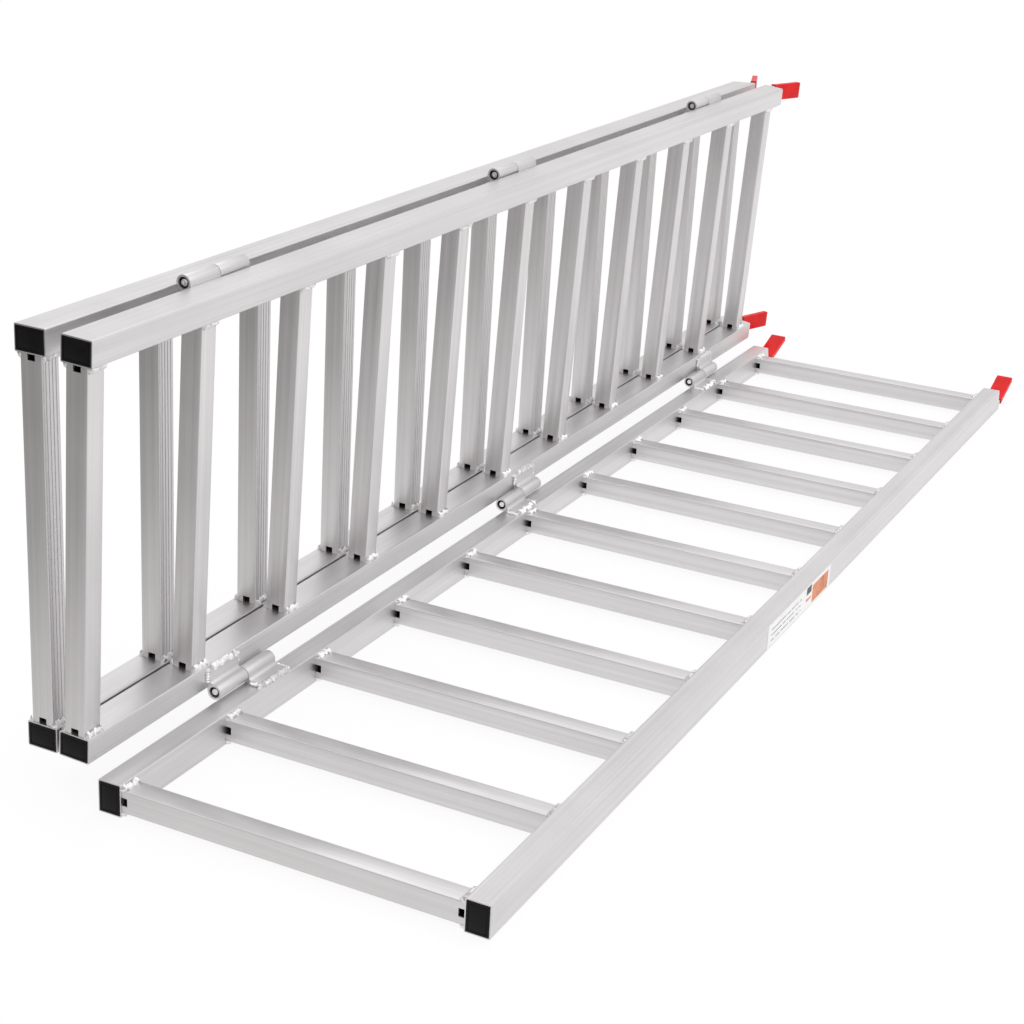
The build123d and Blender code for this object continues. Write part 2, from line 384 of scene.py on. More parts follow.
def in_groove(face):
    """True for the strips of the tread face between the sides of a groove."""
    centre = face.calc_center_median()
    beside = any(abs(centre.y - middle) < GROOVE_WIDE / 2 for middle in groove_middles)
    clear = rung_low.x + GROOVE_STOP < centre.x < rung_high.x - GROOVE_STOP
    return on_tread(face) and beside and clear


pick(rung, "FACE", in_groove)
bpy.ops.mesh.extrude_region_move(TRANSFORM_OT_translate={"value": (0, 0, GROOVE_DEEP)})
apply_modifier(rung, "BEVEL", width=RUNG_EDGE, segments=2, limit_method="ANGLE",
               angle_limit=SHARP_EDGE)


def on_inner_wall(face):
    """True for the faces that line the inside of the tube."""
    centre = face.calc_center_median()
    deep = RUNG_WALL - RUNG_EDGE
    return (rung_low.y + deep < centre.y < rung_high.y - deep
            and rung_low.z + deep < centre.z < rung_high.z - deep)


second_material(rung, on_inner_wall)
smooth(rung)

for panel in PANELS:
    metal = extruded_metal(f"{panel}_rung_mill_finish", panel, ALONG_RUNG)
    # Painted shade: the tube's inner walls get a near-black colour that stands in for the shade
    # inside.
    weld_soot_and_inner_shade = Finish(f"{panel}_rung_inside_painted_shade", panel, Specular_IOR_Level=0.1)
    cloud = weld_soot_and_inner_shade.noise(INSIDE_CLOUD_SCALE, 4)
    weld_soot_and_inner_shade.set(Base_Color=weld_soot_and_inner_shade.ramp(cloud, (0.35, INSIDE_SHADE_DARK), (0.65, INSIDE_SHADE_LIGHT)),
             Roughness=0.7 + cloud * 0.2)
    weld_soot_and_inner_shade.bump(cloud, 0.0003, 0.5)
    for number in range(RUNG_COUNT):
        name = f"{panel}_rung_{number + 1:02d}"
        piece = copy_of(rung, f"{name}_extrusion", panel, (0, number * RUNG_PITCH, 0))
        piece.data.materials.append(metal)
        piece.data.materials.append(weld_soot_and_inner_shade.material)
        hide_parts(name)
bpy.data.objects.remove(rung)


# Rung welds
# Each rung end is TIG welded to the rail on its underside and its tread side. The bead fills
# the corner in overlapping ripples, and stays below the rail's faces so that panels can fold.

BEAD_SIDES = 8
BEAD_SINK = 0.0010
BEAD_OVERRUN = 0.0007
RUNG_BEAD_RADIUS = 0.0062
RUNG_BEAD_FLATNESS = 0.70
RUNG_RIPPLES = 7
RUNG_BEAD_SEEDS = range(4)
CREST_PLACE = 0.30
CREST_SWELL = 1.06
CREST_LEAN = 0.25
TROUGH_PLACE = 0.86
TROUGH_SWELL = 0.80
END_SWELL = 0.42
START_SWELL = 0.10
FROST_SCALE = 900
FROST_DEEP = 0.0004
SOOT_SCALE = 260
UNEVEN_SWELL = 0.06
WANDER = 0.04
WELD_SOOT = (0.70, 0.69, 0.68, 1)
WELD_BRIGHT = (0.97, 0.97, 0.97, 1)


def weld_model(name, length, radius, ripples, seed):
    """Bead along Y in the corner between +X and +Z: two rings to a ripple, and closed ends."""
    bpy.ops.object.select_all(action="DESELECT")
    bpy.ops.mesh.primitive_cylinder_add(vertices=BEAD_SIDES, radius=radius, depth=length,
                                        location=(0, 0, 0), rotation=(math.pi / 2, 0, 0))
    bead = bpy.context.object
    bead.name = name
    bpy.ops.object.transform_apply(location=True, rotation=True, scale=True)
    pitch = length / ripples
    places = []
    for ripple in range(ripples):
        places.append(-length / 2 + pitch * (ripple + CREST_PLACE))
        places.append(-length / 2 + pitch * (ripple + TROUGH_PLACE))
    slice_at(bead, lambda face: True, (0, 1, 0), places)
    chance = random.Random(seed)
    for order, place in enumerate([-length / 2] + places + [length / 2]):
        crest = order % 2 == 1
        end = order in (0, len(places) + 1)
        swell = END_SWELL if end else (CREST_SWELL if crest else TROUGH_SWELL)
        near_start = max(0.0, 1 - 3 * order / len(places))
        swell *= 1 + START_SWELL * near_start + chance.uniform(-UNEVEN_SWELL, UNEVEN_SWELL)
        pick(bead, "VERT", lambda vert: abs(vert.co.y - place) < TOUCHING)
        bpy.ops.transform.resize(value=(swell, 1, swell), center_override=(0, place, 0))
        shift = chance.uniform(-WANDER, WANDER) * radius
        lean = CREST_LEAN * pitch if crest else 0.0
        bpy.ops.transform.translate(value=(shift, lean, -shift))
    pick(bead, "VERT", lambda vert: vert.co.x < -BEAD_SINK)
    bpy.ops.transform.resize(value=(0, 1, 1), center_override=(-BEAD_SINK, 0, 0))
    pick(bead, "VERT", lambda vert: vert.co.z < -BEAD_SINK)
    bpy.ops.transform.resize(value=(1, 1, 0), center_override=(0, 0, -BEAD_SINK))
    smooth(bead, degrees=75)
    return bead


def join_all(pieces, name):
    """Join pieces into one."""
    bpy.ops.object.select_all(action="DESELECT")
    for piece in pieces:
        piece.select_set(True)
    bpy.context.view_layer.objects.active = pieces[0]
    if len(pieces) > 1:
        bpy.ops.object.join()
    joined = bpy.context.object
    joined.name = name
    return joined


def weld_metal(name, panel):
    """Bright frosty weld metal with patches of dull soot."""
    metal = Finish(name, panel, Metallic=1.0)
    frost = metal.noise(FROST_SCALE, 4, roughness=0.7)
    weld_soot_and_inner_shade = metal.noise(SOOT_SCALE, 3)
    tone = metal.ramp(weld_soot_and_inner_shade, (0.32, WELD_SOOT), (0.52, WELD_BRIGHT))
    metal.set(Base_Color=tone, Roughness=0.20 + frost * 0.26)
    metal.bump(frost, FROST_DEEP, 0.7)
    return metal.material


weld_metals = {panel: weld_metal(f"{panel}_weld_metal", panel) for panel in PANELS}
rung_long = rung_high.y - rung_low.y
rung_beads = [weld_model(f"bead_model_{seed}", rung_long + 2 * BEAD_OVERRUN, RUNG_BEAD_RADIUS,
                         RUNG_RIPPLES, seed) for seed in RUNG_BEAD_SEEDS]
rung_middle = (rung_low.y + rung_high.y) / 2
for panel in PANELS:
    beads = []
    for number in range(RUNG_COUNT):
        y = rung_middle + number * RUNG_PITCH
        corners = ((rung_low.x, 1, rung_high.z, 1), (rung_high.x, -1, rung_high.z, 1),
                   (rung_low.x, 1, rung_low.z, -1), (rung_high.x, -1, rung_low.z, -1))
        for corner, (x, inwards, z, up) in enumerate(corners):
            model = rung_beads[(number + corner) % len(rung_beads)]
            about = Matrix.Diagonal((inwards, 1, up * RUNG_BEAD_FLATNESS, 1))
            beads.append(copy_of(model, "bead", panel, (x, y, z), about))
    welds = join_all(beads, f"{panel}_rung_welds")
    welds.data.materials.append(weld_metals[panel])
for model in rung_beads:
    bpy.data.objects.remove(model)


# Lips
# A flat aluminium bar is held inside the far end of each rail and bent up towards the underside.
# Its sloping part is dipped in red vinyl, which is thicker at the dip line and at the tip.

LIP_ANGLE = math.radians(18)
COAT_THICK = 0.0016
COAT_CORNER = 0.0015
COAT_CUTS = (0.3, 0.65, 0.9)
COAT_TIP_START = 0.8
COAT_TIP_SWELL = 1.035
DIP_LINE = 0.0022
DIP_LINE_SWELL = 1.05
VINYL_CLOUD_SCALE = 45
VINYL_GRAIN_SCALE = 1400
VINYL_GRAIN_DEEP = 0.0003
VINYL_RUB_SCALE = 130
VINYL_DARK = (0.72, 0.003, 0.005, 1)
VINYL_LIGHT = (0.87, 0.006, 0.008, 1)
VINYL_RUBBED = (0.88, 0.07, 0.06, 1)

for panel in PANELS:
    dress(f"{panel}_lip_plates", rail_metal[panel])
coat_low, coat_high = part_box("flat_lip_coatings")
coat_wide = (coat_low.x, coat_low.x + (coat_high.x - coat_low.x) - RAIL_STEP)
reach_y = coat_high.y - coat_low.y
reach_z = coat_high.z - coat_low.z
coat_deep = ((reach_z * math.cos(LIP_ANGLE) - reach_y * math.sin(LIP_ANGLE))
             / math.cos(2 * LIP_ANGLE))
coat_long = (reach_y - coat_deep * math.sin(LIP_ANGLE)) / math.cos(LIP_ANGLE)
coat_start = Vector((0, coat_low.y + coat_deep * math.sin(LIP_ANGLE), coat_low.z))

coat = start_block("coat_model", (coat_wide[0], 0, 0), (coat_wide[1], coat_long, coat_deep))
coat_cuts = [coat_long * share for share in COAT_CUTS]
slice_at(coat, lambda face: True, (0, 1, 0), [DIP_LINE] + coat_cuts)
coat_centre = ((coat_wide[0] + coat_wide[1]) / 2, 0, coat_deep / 2)
pick(coat, "VERT", lambda vert: abs(vert.co.y) < TOUCHING)
bpy.ops.transform.resize(value=(DIP_LINE_SWELL, 1, DIP_LINE_SWELL), center_override=coat_centre)
pick(coat, "VERT", lambda vert: vert.co.y > coat_long * COAT_TIP_START)
bpy.ops.transform.resize(value=(1.0, 1, COAT_TIP_SWELL), center_override=coat_centre)
pick(coat, "EDGE", lambda edge: edge.calc_face_angle(0) > math.radians(60)
     and middle_of(edge).y > TOUCHING)
bpy.ops.mesh.bevel(offset=COAT_CORNER, segments=4)
pick(coat, "FACE", lambda face: face.normal.y < -SQUARE_ON
     and face.calc_center_median().y < TOUCHING)
bpy.ops.mesh.delete(type="FACE")
apply_modifier(coat, "SOLIDIFY", thickness=COAT_THICK, offset=-1, use_even_offset=True)
smooth(coat, degrees=50)
coat_place = Matrix.Translation(coat_start) @ Matrix.Rotation(LIP_ANGLE, 4, "X")

for panel in PANELS:
    vinyl = Finish(f"{panel}_red_vinyl", panel, Specular_IOR_Level=0.2)
    cloud = vinyl.noise(VINYL_CLOUD_SCALE, 3)
    grain = vinyl.noise(VINYL_GRAIN_SCALE, 2)
    rub = vinyl.ramp(vinyl.noise(VINYL_RUB_SCALE, 5, roughness=0.7), (0.60, 0.0), (0.72, 1.0))
    red = vinyl.ramp(cloud, (0.35, VINYL_DARK), (0.65, VINYL_LIGHT))
    vinyl.set(Base_Color=vinyl.mix(rub * 0.15, red, VINYL_RUBBED),
              Roughness=0.30 + cloud * 0.10 + rub * 0.15)
    vinyl.bump(grain * 0.35 + cloud * 0.65, VINYL_GRAIN_DEEP, 0.5)
    for side, place in (("near_side", 0.0), ("far_side", RAIL_STEP)):
        piece = copy_of(coat, f"{panel}_lip_coating_{side}", panel, (place, 0, 0), coat_place)
        piece.data.materials.append(vinyl.material)
        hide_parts(f"{panel}_lip_coatings")
bpy.data.objects.remove(coat)


# End caps
# Moulded black polyethylene plugs pressed into the near ends of the rails. A thin flange covers
# part of the rail's wall, the face has a sunken line near its edge, and the back is hollow.

CAP_WALL = 0.0020
CAP_FLANGE = 0.0005
CAP_FLANGE_THICK = 0.0008
CAP_EDGE = 0.0003
CAP_BORDER = 0.0024
CAP_LINE_SLOPE = 0.0002
CAP_LINE_WIDE = 0.0004
CAP_LINE_DEEP = 0.0005
CAP_PANEL_RISE = 0.0006
PLASTIC_HAZE_SCALE = 90
PLASTIC_GRAIN_SCALE = 1600
PLASTIC_GRAIN_DEEP = 0.0002
DUST_SCALE = 320
PLASTIC_DARK = (0.003, 0.003, 0.004, 1)
PLASTIC_LIGHT = (0.007, 0.007, 0.008, 1)
PLASTIC_DUSTY = (0.04, 0.04, 0.04, 1)

cap_low, cap_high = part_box("flat_end_caps")
cap = start_block("cap_model", cap_low, (cap_high.x - RAIL_STEP, cap_high.y, cap_high.z))
pick(cap, "FACE", facing((0, 1, 0)))
bpy.ops.mesh.inset(thickness=CAP_WALL)
bpy.ops.mesh.extrude_region_move(
    TRANSFORM_OT_translate={"value": (0, CAP_WALL - (cap_high.y - cap_low.y), 0)})
cap_wide = cap_high.x - RAIL_STEP - cap_low.x
cap_tall = cap_high.z - cap_low.z
cap_centre = (cap_low.x + cap_wide / 2, rail_low.y, cap_low.z + cap_tall / 2)
pick(cap, "FACE", lambda face: face.normal.y < -SQUARE_ON
     and face.calc_center_median().y < cap_low.y + TOUCHING)
bpy.ops.mesh.extrude_region_move(TRANSFORM_OT_translate={"value": (0, rail_low.y - cap_low.y, 0)})
bpy.ops.mesh.extrude_region_move(TRANSFORM_OT_translate={"value": (0, 0, 0)})
bpy.ops.transform.resize(value=(1 + 2 * CAP_FLANGE / cap_wide, 1, 1 + 2 * CAP_FLANGE / cap_tall),
                         center_override=cap_centre)
bpy.ops.mesh.extrude_region_move(TRANSFORM_OT_translate={"value": (0, -CAP_FLANGE_THICK, 0)})
bpy.ops.mesh.inset(thickness=CAP_BORDER)
bpy.ops.mesh.inset(thickness=CAP_LINE_SLOPE, depth=-CAP_LINE_DEEP)
bpy.ops.mesh.inset(thickness=CAP_LINE_WIDE)
bpy.ops.mesh.inset(thickness=CAP_LINE_SLOPE, depth=CAP_PANEL_RISE)
apply_modifier(cap, "BEVEL", width=CAP_EDGE, segments=2, limit_method="ANGLE",
               angle_limit=math.radians(70))
smooth(cap, degrees=50)

for panel in PANELS:
    plastic = Finish(f"{panel}_black_plastic", panel, Specular_IOR_Level=0.18)
    haze = plastic.noise(PLASTIC_HAZE_SCALE, 4)
    grain = plastic.noise(PLASTIC_GRAIN_SCALE, 2)
    dust = plastic.ramp(plastic.noise(DUST_SCALE, 5, roughness=0.7), (0.62, 0.0), (0.75, 1.0))
    black = plastic.ramp(haze, (0.35, PLASTIC_DARK), (0.65, PLASTIC_LIGHT))
    plastic.set(Base_Color=plastic.mix(dust * 0.2, black, PLASTIC_DUSTY),
                Roughness=0.42 + haze * 0.16 + dust * 0.1)
    plastic.bump(grain, PLASTIC_GRAIN_DEEP, 0.35)
    for side, place in (("near_side", 0.0), ("far_side", RAIL_STEP)):
        piece = copy_of(cap, f"{panel}_end_cap_{side}", panel, (place, 0, 0))
        piece.data.materials.append(plastic.material)
        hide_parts(f"{panel}_end_caps")
bpy.data.objects.remove(cap)


# Hinge leaves
# Sawn lengths of an aluminium extrusion: a leaf that lies on the rail and runs smoothly into
# a knuckle. Each hinge has two, and each outer knuckle end is counterbored for a push nut.

HINGE_LENGTH = 0.1080
KNUCKLE_GAP = 0.0010
KNUCKLE_LENGTH = (HINGE_LENGTH - KNUCKLE_GAP) / 2
LEAF_THICK = 0.0035
LEAF_MARGIN = 0.0070
FILLET_RADIUS = 0.0050
KNUCKLE_STEPS = 30
FILLET_STEPS = 6
RECESS_DEPTH = 0.0040
RECESS_RADIUS = 0.0065
BORE_RADIUS = 0.0048
LEAF_EDGE = 0.0004
LEAF_ROUGHNESS = 0.44
DRILL_SIDES = 32
DRILL_CLEAR = 0.01
SPECK = 0.001

lower_axis = Vector(joints["lower_fold"]["pos_m"])
AXIS_RISE = lower_axis.z - rail_high.z
KNUCKLE_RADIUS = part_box("flat_hinge_leaves")[1].z - lower_axis.z
LEAF_REACH = HALF_GAP + rail_high.x - rail_low.x - LEAF_MARGIN
first_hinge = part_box("middle_lower_hinge_leaves")[0].y
last_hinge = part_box("middle_lower_hinge_leaves")[1].y - HINGE_LENGTH
HINGE_STARTS = (first_hinge, (first_hinge + last_hinge) / 2, last_hinge)
# A leaf's panel, its CAD node, its side of the hinge axis, and 1 for underside or -1 for tread
SEAM_SIDES = {
    "flat_hinge_leaf": ("flat", "flat_hinge_leaves", 1, 1),
    "middle_lower_hinge_leaf": ("middle", "middle_lower_hinge_leaves", -1, 1),
    "middle_upper_hinge_leaf": ("middle", "middle_upper_hinge_leaves", 1, -1),
    "outer_hinge_leaf": ("outer", "outer_hinge_leaves", -1, -1),
}
SEAT_NAMES = ("near", "mid", "far")


def extend(step):
    """Extrude the selected vertex by a step."""
    bpy.ops.mesh.extrude_vertices_move(TRANSFORM_OT_translate={"value": step})


def spin_point(centre_x, centre_z, angle, steps):
    """Spin the selected vertex round a line along Y."""
    bpy.ops.mesh.spin(steps=steps, angle=angle, center=(centre_x, 0, centre_z), axis=(0, 1, 0))


def drill(piece, radius, low, high):
    """Bore a round hole along the piece's hinge axis."""
    bpy.ops.object.mode_set(mode="OBJECT")
    bpy.ops.object.select_all(action="DESELECT")
    bpy.ops.mesh.primitive_cylinder_add(vertices=DRILL_SIDES, radius=radius, depth=high - low,
                                        location=(0, (low + high) / 2, 0),
                                        rotation=(math.pi / 2, 0, 0))
    bit = bpy.context.object
    apply_modifier(piece, "BOOLEAN", operation="DIFFERENCE", object=bit, solver="EXACT")
    bpy.data.objects.remove(bit)


bpy.ops.object.select_all(action="DESELECT")
bpy.ops.mesh.primitive_plane_add(size=SPECK, location=(LEAF_REACH, 0, LEAF_THICK - AXIS_RISE))
leaf = bpy.context.object
leaf.name = "leaf_model"
bpy.ops.object.transform_apply(location=True, rotation=True, scale=True)
pick(leaf, "VERT", lambda vert: True)
bpy.ops.mesh.merge(type="CENTER")
fillet_z = LEAF_THICK - AXIS_RISE + FILLET_RADIUS
fillet_x = math.sqrt((KNUCKLE_RADIUS + FILLET_RADIUS) ** 2 - fillet_z ** 2)
fillet_end = math.atan2(fillet_z, fillet_x)
extend((fillet_x - LEAF_REACH, 0, 0))
spin_point(fillet_x, fillet_z, fillet_end - math.pi / 2, FILLET_STEPS)
spin_point(0, 0, 1.5 * math.pi - fillet_end, KNUCKLE_STEPS)
extend((0, 0, KNUCKLE_RADIUS - AXIS_RISE))
extend((LEAF_REACH, 0, 0))
pick(leaf, "VERT", lambda vert: abs(vert.co.x - LEAF_REACH) < TOUCHING)
bpy.ops.mesh.edge_face_add()
bpy.ops.mesh.select_all(action="SELECT")
bpy.ops.mesh.edge_face_add()
bpy.ops.mesh.extrude_region_move(TRANSFORM_OT_translate={"value": (0, KNUCKLE_LENGTH, 0)})
bpy.ops.mesh.select_all(action="SELECT")
bpy.ops.mesh.normals_make_consistent(inside=False)
drill(leaf, BORE_RADIUS, -DRILL_CLEAR, KNUCKLE_LENGTH + DRILL_CLEAR)
drill(leaf, RECESS_RADIUS, -DRILL_CLEAR, RECESS_DEPTH)
apply_modifier(leaf, "BEVEL", width=LEAF_EDGE, segments=2, limit_method="ANGLE",
               angle_limit=SHARP_EDGE)
smooth(leaf, degrees=40)


def on_axis(seam_side, index):
    """Place on a panel of a part modelled about the origin with its recess at the near end."""
    panel, node, side, up = seam_side
    takes_near = (index == 0) == (panel == "middle")
    start = HINGE_STARTS[index]
    along = start if takes_near else start + HINGE_LENGTH
    x = lower_axis.x if side > 0 else lower_axis.x + PANEL_STEP
    z = lower_axis.z if up > 0 else -AXIS_RISE
    return (x, along, z), Matrix.Diagonal((side, 1 if takes_near else -1, up, 1))


for name, seam_side in SEAM_SIDES.items():
    panel, node, side, up = seam_side
    metal = extruded_metal(f"{name}_finish", panel, ALONG_RAIL, LEAF_ROUGHNESS)
    for index, seat in enumerate(SEAT_NAMES):
        place, turn = on_axis(seam_side, index)
        piece = copy_of(leaf, f"{name}_{seat}", panel, place, turn)
        piece.data.materials.append(metal)
        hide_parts(node)
bpy.data.objects.remove(leaf)


# Hinge welds
# Each leaf is welded to its rail along the edge away from its knuckle and across both of its
# sawn ends. The beads are flattened towards the rail.

LONG_BEAD_RADIUS = 0.0066
SHORT_BEAD_RADIUS = 0.0058
BEAD_FLATNESS = 0.72
LONG_RIPPLES = 14
SHORT_RIPPLES = 5
SHORT_BEAD_START = 0.0104
SHORT_BEAD_END = LEAF_REACH + 0.0035
BEAD_SETBACK = 0.0050
LONG_BEAD_SEED = 11
SHORT_BEAD_SEEDS = (12, 13)

long_bead = weld_model("long_bead", KNUCKLE_LENGTH - BEAD_SETBACK, LONG_BEAD_RADIUS,
                       LONG_RIPPLES, LONG_BEAD_SEED)
short_length = SHORT_BEAD_END - SHORT_BEAD_START
short_beads = [weld_model(f"short_bead_{seed}", short_length, SHORT_BEAD_RADIUS,
                          SHORT_RIPPLES, seed) for seed in SHORT_BEAD_SEEDS]
short_middle = (SHORT_BEAD_END + SHORT_BEAD_START) / 2
flatten = Matrix.Diagonal((1, 1, BEAD_FLATNESS, 1))
for panel in PANELS:
    beads = []
    for seam_side in SEAM_SIDES.values():
        if seam_side[0] != panel:
            continue
        for index in range(len(HINGE_STARTS)):
            place, turn = on_axis(seam_side, index)
            stand = turn @ Matrix.Translation((LEAF_REACH, KNUCKLE_LENGTH / 2, -AXIS_RISE))
            beads.append(copy_of(long_bead, "bead", panel, place, stand @ flatten))
            for model, y, outwards in zip(short_beads, (0, KNUCKLE_LENGTH), (-1, 1)):
                across_leaf = Matrix.Rotation(outwards * math.pi / 2, 4, "Z")
                stand = turn @ Matrix.Translation((short_middle, y, -AXIS_RISE)) @ across_leaf
                beads.append(copy_of(model, "bead", panel, place, stand @ flatten))
    welds = join_all(beads, f"{panel}_hinge_welds")
    welds.data.materials.append(weld_metals[panel])
for model in [long_bead] + short_beads:
    bpy.data.objects.remove(model)


# Hinge pins
# Bright zinc-plated steel pins, tapered at both ends, with a shallow centre mark from turning.
# In the gap between two knuckles the pins are painted near-black, as painted shade.

PIN_SIDES = 32
PIN_TAPER_DEEP = 0.0016
PIN_TAPER_LONG = 0.0022
PIN_EDGE = 0.0004
CENTRE_MARK = 0.0010
GAP_SHADE_WIDE = 0.0030
TURNING_SCALE = 500
ZINC_FILM_SCALE = 70
GAP_SHADE_CLOUD_SCALE = 400
ZINC_DARK = (0.78, 0.78, 0.79, 1)
ZINC_LIGHT = (0.93, 0.94, 0.95, 1)
GAP_SHADE_DARK = (0.010, 0.010, 0.010, 1)
GAP_SHADE_LIGHT = (0.030, 0.029, 0.028, 1)

pins_low, pins_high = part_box("lower_hinge_pins")
pin_radius = (pins_high.z - pins_low.z) / 2
pin_start = pins_low.y - first_hinge
pin_length = HINGE_LENGTH - 2 * pin_start
bpy.ops.object.select_all(action="DESELECT")
bpy.ops.mesh.primitive_cylinder_add(vertices=PIN_SIDES, radius=pin_radius, depth=pin_length,
                                    location=(0, HINGE_LENGTH / 2, 0),
                                    rotation=(math.pi / 2, 0, 0))
pin = bpy.context.object
pin.name = "pin_model"
bpy.ops.object.transform_apply(location=True, rotation=True, scale=True)
for end in (-1, 1):
    pick(pin, "FACE", facing((0, end, 0)))
    bpy.ops.transform.translate(value=(0, -end * PIN_TAPER_LONG, 0))
    bpy.ops.mesh.inset(thickness=PIN_TAPER_DEEP - PIN_EDGE, depth=PIN_TAPER_LONG - PIN_EDGE)
    bpy.ops.mesh.inset(thickness=PIN_EDGE, depth=PIN_EDGE)
    bpy.ops.mesh.inset(thickness=pin_radius - PIN_TAPER_DEEP - CENTRE_MARK)
    bpy.ops.mesh.inset(thickness=CENTRE_MARK * 0.7, depth=-CENTRE_MARK * 0.6)
# Painted shade: a near-black band on each pin where it shows between the two knuckles.
gap_shade_ends = [(HINGE_LENGTH + side * GAP_SHADE_WIDE) / 2 for side in (-1, 1)]
slice_at(pin, lambda face: True, (0, 1, 0), gap_shade_ends)
second_material(pin, lambda face: gap_shade_ends[0] < face.calc_center_median().y < gap_shade_ends[1])
smooth(pin, degrees=30)

UPPER_SEAM = {"panel": "middle", "nodes": "upper_hinge", "z": -AXIS_RISE}
LOWER_SEAM = {"panel": "flat", "nodes": "lower_hinge", "z": lower_axis.z}
for seam in (LOWER_SEAM, UPPER_SEAM):
    steel = Finish(f"{seam['nodes']}_pin_steel", seam["panel"], Metallic=1.0)
    turned = steel.noise(TURNING_SCALE, 3, (1, 0.2, 1))
    film = steel.noise(ZINC_FILM_SCALE, 4)
    steel.set(Base_Color=steel.ramp(film, (0.35, ZINC_DARK), (0.62, ZINC_LIGHT)),
              Roughness=0.22 + turned * 0.18)
    steel.bump(turned, 0.0001, 0.4)
    gap_shade = Finish(f"{seam['nodes']}_pin_gap_shade", seam["panel"], Specular_IOR_Level=0.3)
    gap_shade_cloud = gap_shade.noise(GAP_SHADE_CLOUD_SCALE, 3)
    gap_shade.set(Base_Color=gap_shade.ramp(gap_shade_cloud, (0.35, GAP_SHADE_DARK), (0.65, GAP_SHADE_LIGHT)),
               Roughness=0.35 + gap_shade_cloud * 0.2)
    gap_shade.bump(gap_shade_cloud, 0.0002, 0.5)
    for start, seat in zip(HINGE_STARTS, SEAT_NAMES):
        piece = copy_of(pin, f"{seam['nodes']}_pin_{seat}", seam["panel"],
                        (lower_axis.x, start, seam["z"]))
        piece.data.materials.append(steel.material)
        piece.data.materials.append(gap_shade.material)
        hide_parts(f"{seam['nodes']}_pins")
bpy.data.objects.remove(pin)


# Push nuts
# Blackened spring-steel rings pressed over each pin end, inside the counterbore. Their near-black
# colour is partly the blackening and partly painted shade inside the counterbore. Their inner
# rim is cut into teeth that lean outwards and bite the pin.

NUT_SIDES = 36
NUT_TEETH = 6
NUT_PLATE = 0.0005
NUT_SEAT = 0.0008
TOOTH_LEAN = 0.0012
TEETH_RADIUS = 0.0040
SLOT_DEEP = 0.0008
SLOT_SHARE = 0.1
BLUEING_SCALE = 240
NUT_GRAIN_SCALE = 1500
BLUEING_AND_SHADE_DARK = (0.012, 0.012, 0.014, 1)
BLUEING_AND_SHADE_LIGHT = (0.045, 0.045, 0.05, 1)

nuts_low, nuts_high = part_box("lower_hinge_push_nuts")
nut_radius = (nuts_high.z - nuts_low.z) / 2
nut_inset = nuts_low.y - first_hinge
bpy.ops.object.select_all(action="DESELECT")
bpy.ops.mesh.primitive_circle_add(vertices=NUT_SIDES, radius=nut_radius, fill_type="NOTHING",
                                  location=(0, NUT_SEAT, 0), rotation=(math.pi / 2, 0, 0))
nut = bpy.context.object
nut.name = "nut_model"
bpy.ops.object.transform_apply(location=True, rotation=True, scale=True)


def ring_out(size, step):
    """Extrude the selected ring to a share of its size and a step along Y."""
    bpy.ops.mesh.extrude_edges_move(TRANSFORM_OT_translate={"value": (0, step, 0)})
    bpy.ops.transform.resize(value=(size, 1, size), center_override=(0, 0, 0))


pick(nut, "EDGE", lambda edge: True)
rim_share = (nut_radius + pin_radius) / 2 / nut_radius
ring_out(rim_share, 0.0)
ring_out(TEETH_RADIUS / (nut_radius * rim_share), -TOOTH_LEAN)


def between_teeth(vert):
    """True for inner rim points in the slots between teeth."""
    turn = math.atan2(vert.co.z, vert.co.x) / (2 * math.pi) * NUT_TEETH
    on_inner_rim = math.hypot(vert.co.x, vert.co.z) < TEETH_RADIUS + TOUCHING
    return on_inner_rim and abs(turn - round(turn)) < SLOT_SHARE


pick(nut, "VERT", between_teeth)
slot_share = 1 + SLOT_DEEP / TEETH_RADIUS
bpy.ops.transform.resize(value=(slot_share, 1, slot_share), center_override=(0, 0, 0))
bpy.ops.mesh.select_all(action="SELECT")
bpy.ops.mesh.normals_make_consistent(inside=False)
apply_modifier(nut, "SOLIDIFY", thickness=NUT_PLATE, offset=0)
smooth(nut, degrees=30)

for seam in (LOWER_SEAM, UPPER_SEAM):
    # Partly painted shade: the blackened steel is made darker still to stand in for the shade in
    # the counterbore.
    spring = Finish(f"{seam['nodes']}_nut_steel", seam["panel"], Metallic=1.0)
    blueing_and_shade = spring.noise(BLUEING_SCALE, 3)
    spring.set(Base_Color=spring.ramp(blueing_and_shade, (0.35, BLUEING_AND_SHADE_DARK), (0.65, BLUEING_AND_SHADE_LIGHT)),
               Roughness=0.34 + blueing_and_shade * 0.2)
    spring.bump(spring.noise(NUT_GRAIN_SCALE, 2), 0.0001, 0.3)
    for start, seat in zip(HINGE_STARTS, SEAT_NAMES):
        ends = (("near_end", start + nut_inset, 1),
                ("far_end", start + HINGE_LENGTH - nut_inset, -1))
        for end, along, facing_sign in ends:
            piece = copy_of(nut, f"{seam['nodes']}_push_nut_{seat}_{end}", seam["panel"],
                            (lower_axis.x, along, seam["z"]),
                            Matrix.Diagonal((1, facing_sign, 1, 1)))
            piece.data.materials.append(spring.material)
            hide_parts(f"{seam['nodes']}_push_nuts")
bpy.data.objects.remove(nut)


# Label
# Thin white film with rounded corners on the outer side of the flat panel's outer rail. Its
# print is plain: an orange block towards the far end, a dark mark and an orange bar beside it,
# and broken grey rules towards the near end.

